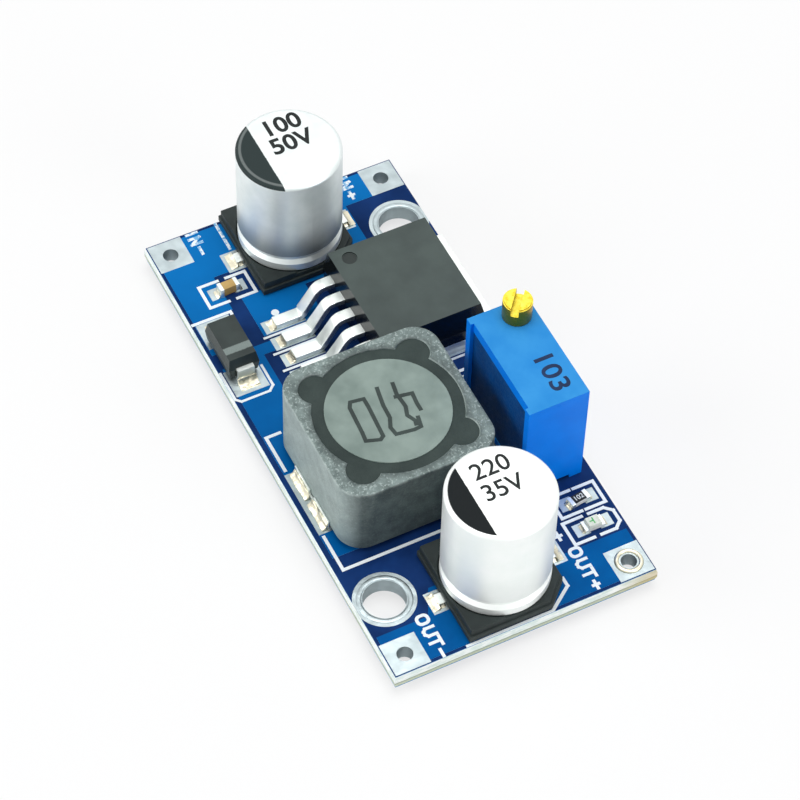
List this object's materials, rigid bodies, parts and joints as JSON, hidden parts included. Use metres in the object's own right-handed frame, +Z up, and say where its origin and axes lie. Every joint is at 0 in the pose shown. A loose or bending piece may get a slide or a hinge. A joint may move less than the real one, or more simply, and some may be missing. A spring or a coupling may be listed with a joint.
{
  "type": "buck converter module",
  "caption": "Adjustable step-down DC-DC converter module: blue board with capacitors, regulator, power inductor, diode and a multi-turn trimmer",
  "frame": {"origin": "under the centre of the board, on the plane that the lowest solder tails reach", "axes": "+X from the input end to the output end, +Y towards the positive wire pads, +Z up from the board"},
  "size_m": [0.043, 0.021, 0.0136],
  "materials": {
    "laminate": "glass-fibre edge",
    "copper": "bare copper foil under the mask",
    "solder_mask": "glossy blue lacquer",
    "tin": "tinned pads and plated holes",
    "solder": "solder with flux residue",
    "legend_ink": "white ink",
    "can": "matte white aluminium",
    "base_plastic": "matte moulded plastic",
    "rubber": "matte",
    "paper_winding": "electrolyte paper and foil",
    "terminal_metal": "tinned metal",
    "package_plastic": "moulded epoxy",
    "silicon": "polished die",
    "ferrite": "sintered ferrite with worn pale edges",
    "drum_ferrite": "ground ferrite face",
    "copper_wire": "enamelled wire",
    "adhesive": "dark epoxy adhesive",
    "board_plastic": "phenolic board",
    "ceramic_brown": "tan capacitor ceramic",
    "ceramic_white": "alumina",
    "resistor_film": "black glass coat",
    "lens": "clear epoxy lens",
    "gold": "gold-plated",
    "trimmer_blue": "moulded blue plastic",
    "trimmer_resin": "dark blue sealing resin",
    "screw_brass": "turned brass",
    "wheel_plastic": "natural nylon"
  },
  "bodies": {
    "root": {"laminate": "laminate", "copper_top": "copper", "copper_bottom": "copper", "mask_top": "solder_mask", "mask_bottom": "solder_mask", "tinned_pads": "tin", "mounting_hole_plating": "tin", "wire_hole_plating": "tin", "pin_hole_plating": "tin", "legend": "legend_ink", "input_can": "can", "input_base": "base_plastic", "input_bung": "rubber", "input_winding": "paper_winding", "input_terminals": "terminal_metal", "output_can": "can", "output_base": "base_plastic", "output_bung": "rubber", "output_winding": "paper_winding", "output_terminals": "terminal_metal", "regulator_body": "package_plastic", "regulator_heat_tab": "terminal_metal", "regulator_leads": "terminal_metal", "regulator_die": "silicon", "inductor_shield": "ferrite", "inductor_drum": "drum_ferrite", "inductor_winding": "copper_wire", "inductor_adhesive": "adhesive", "inductor_board": "board_plastic", "inductor_terminals": "terminal_metal", "diode_body": "package_plastic", "diode_leads": "terminal_metal", "diode_die": "silicon", "ceramic_capacitor": "ceramic_brown", "ceramic_capacitor_ends": "terminal_metal", "series_resistor": "ceramic_white", "series_resistor_film": "resistor_film", "series_resistor_ends": "terminal_metal", "divider_resistor": "ceramic_white", "divider_resistor_film": "resistor_film", "divider_resistor_ends": "terminal_metal", "lamp_carrier": "ceramic_white", "lamp_lens": "lens", "lamp_ends": "gold", "trimmer_housing": "trimmer_blue", "trimmer_seal": "trimmer_resin", "trimmer_element": "ceramic_white", "trimmer_pins": "terminal_metal", "solder_capacitors": "solder", "solder_regulator": "solder", "solder_inductor": "solder", "solder_diode": "solder", "solder_chips": "solder", "solder_trimmer": "solder"},
    "trimmer_screw_body": {"trimmer_screw": "screw_brass", "trimmer_o_ring": "rubber"},
    "trimmer_rotor_body": {"trimmer_wheel": "wheel_plastic", "trimmer_wiper": "gold"}
  },
  "joints": [
    {"name": "trimmer_screw_turn", "type": "hinge", "parent": "root", "child": "trimmer_screw_body", "pos_m": [0.0033, 0.00815, 0.01184], "axis": [0, 0, 1], "range_deg": [-4500, 4500]},
    {"name": "trimmer_rotor_turn", "type": "hinge", "parent": "root", "child": "trimmer_rotor_body", "pos_m": [0.00745, 0.00815, 0.00664], "axis": [0, 1, 0], "range_deg": [-150, 150]}
  ],
  "couplings": [
    {"joint": "trimmer_rotor_turn", "follows": "trimmer_screw_turn", "ratio": -0.033333}
  ]
}
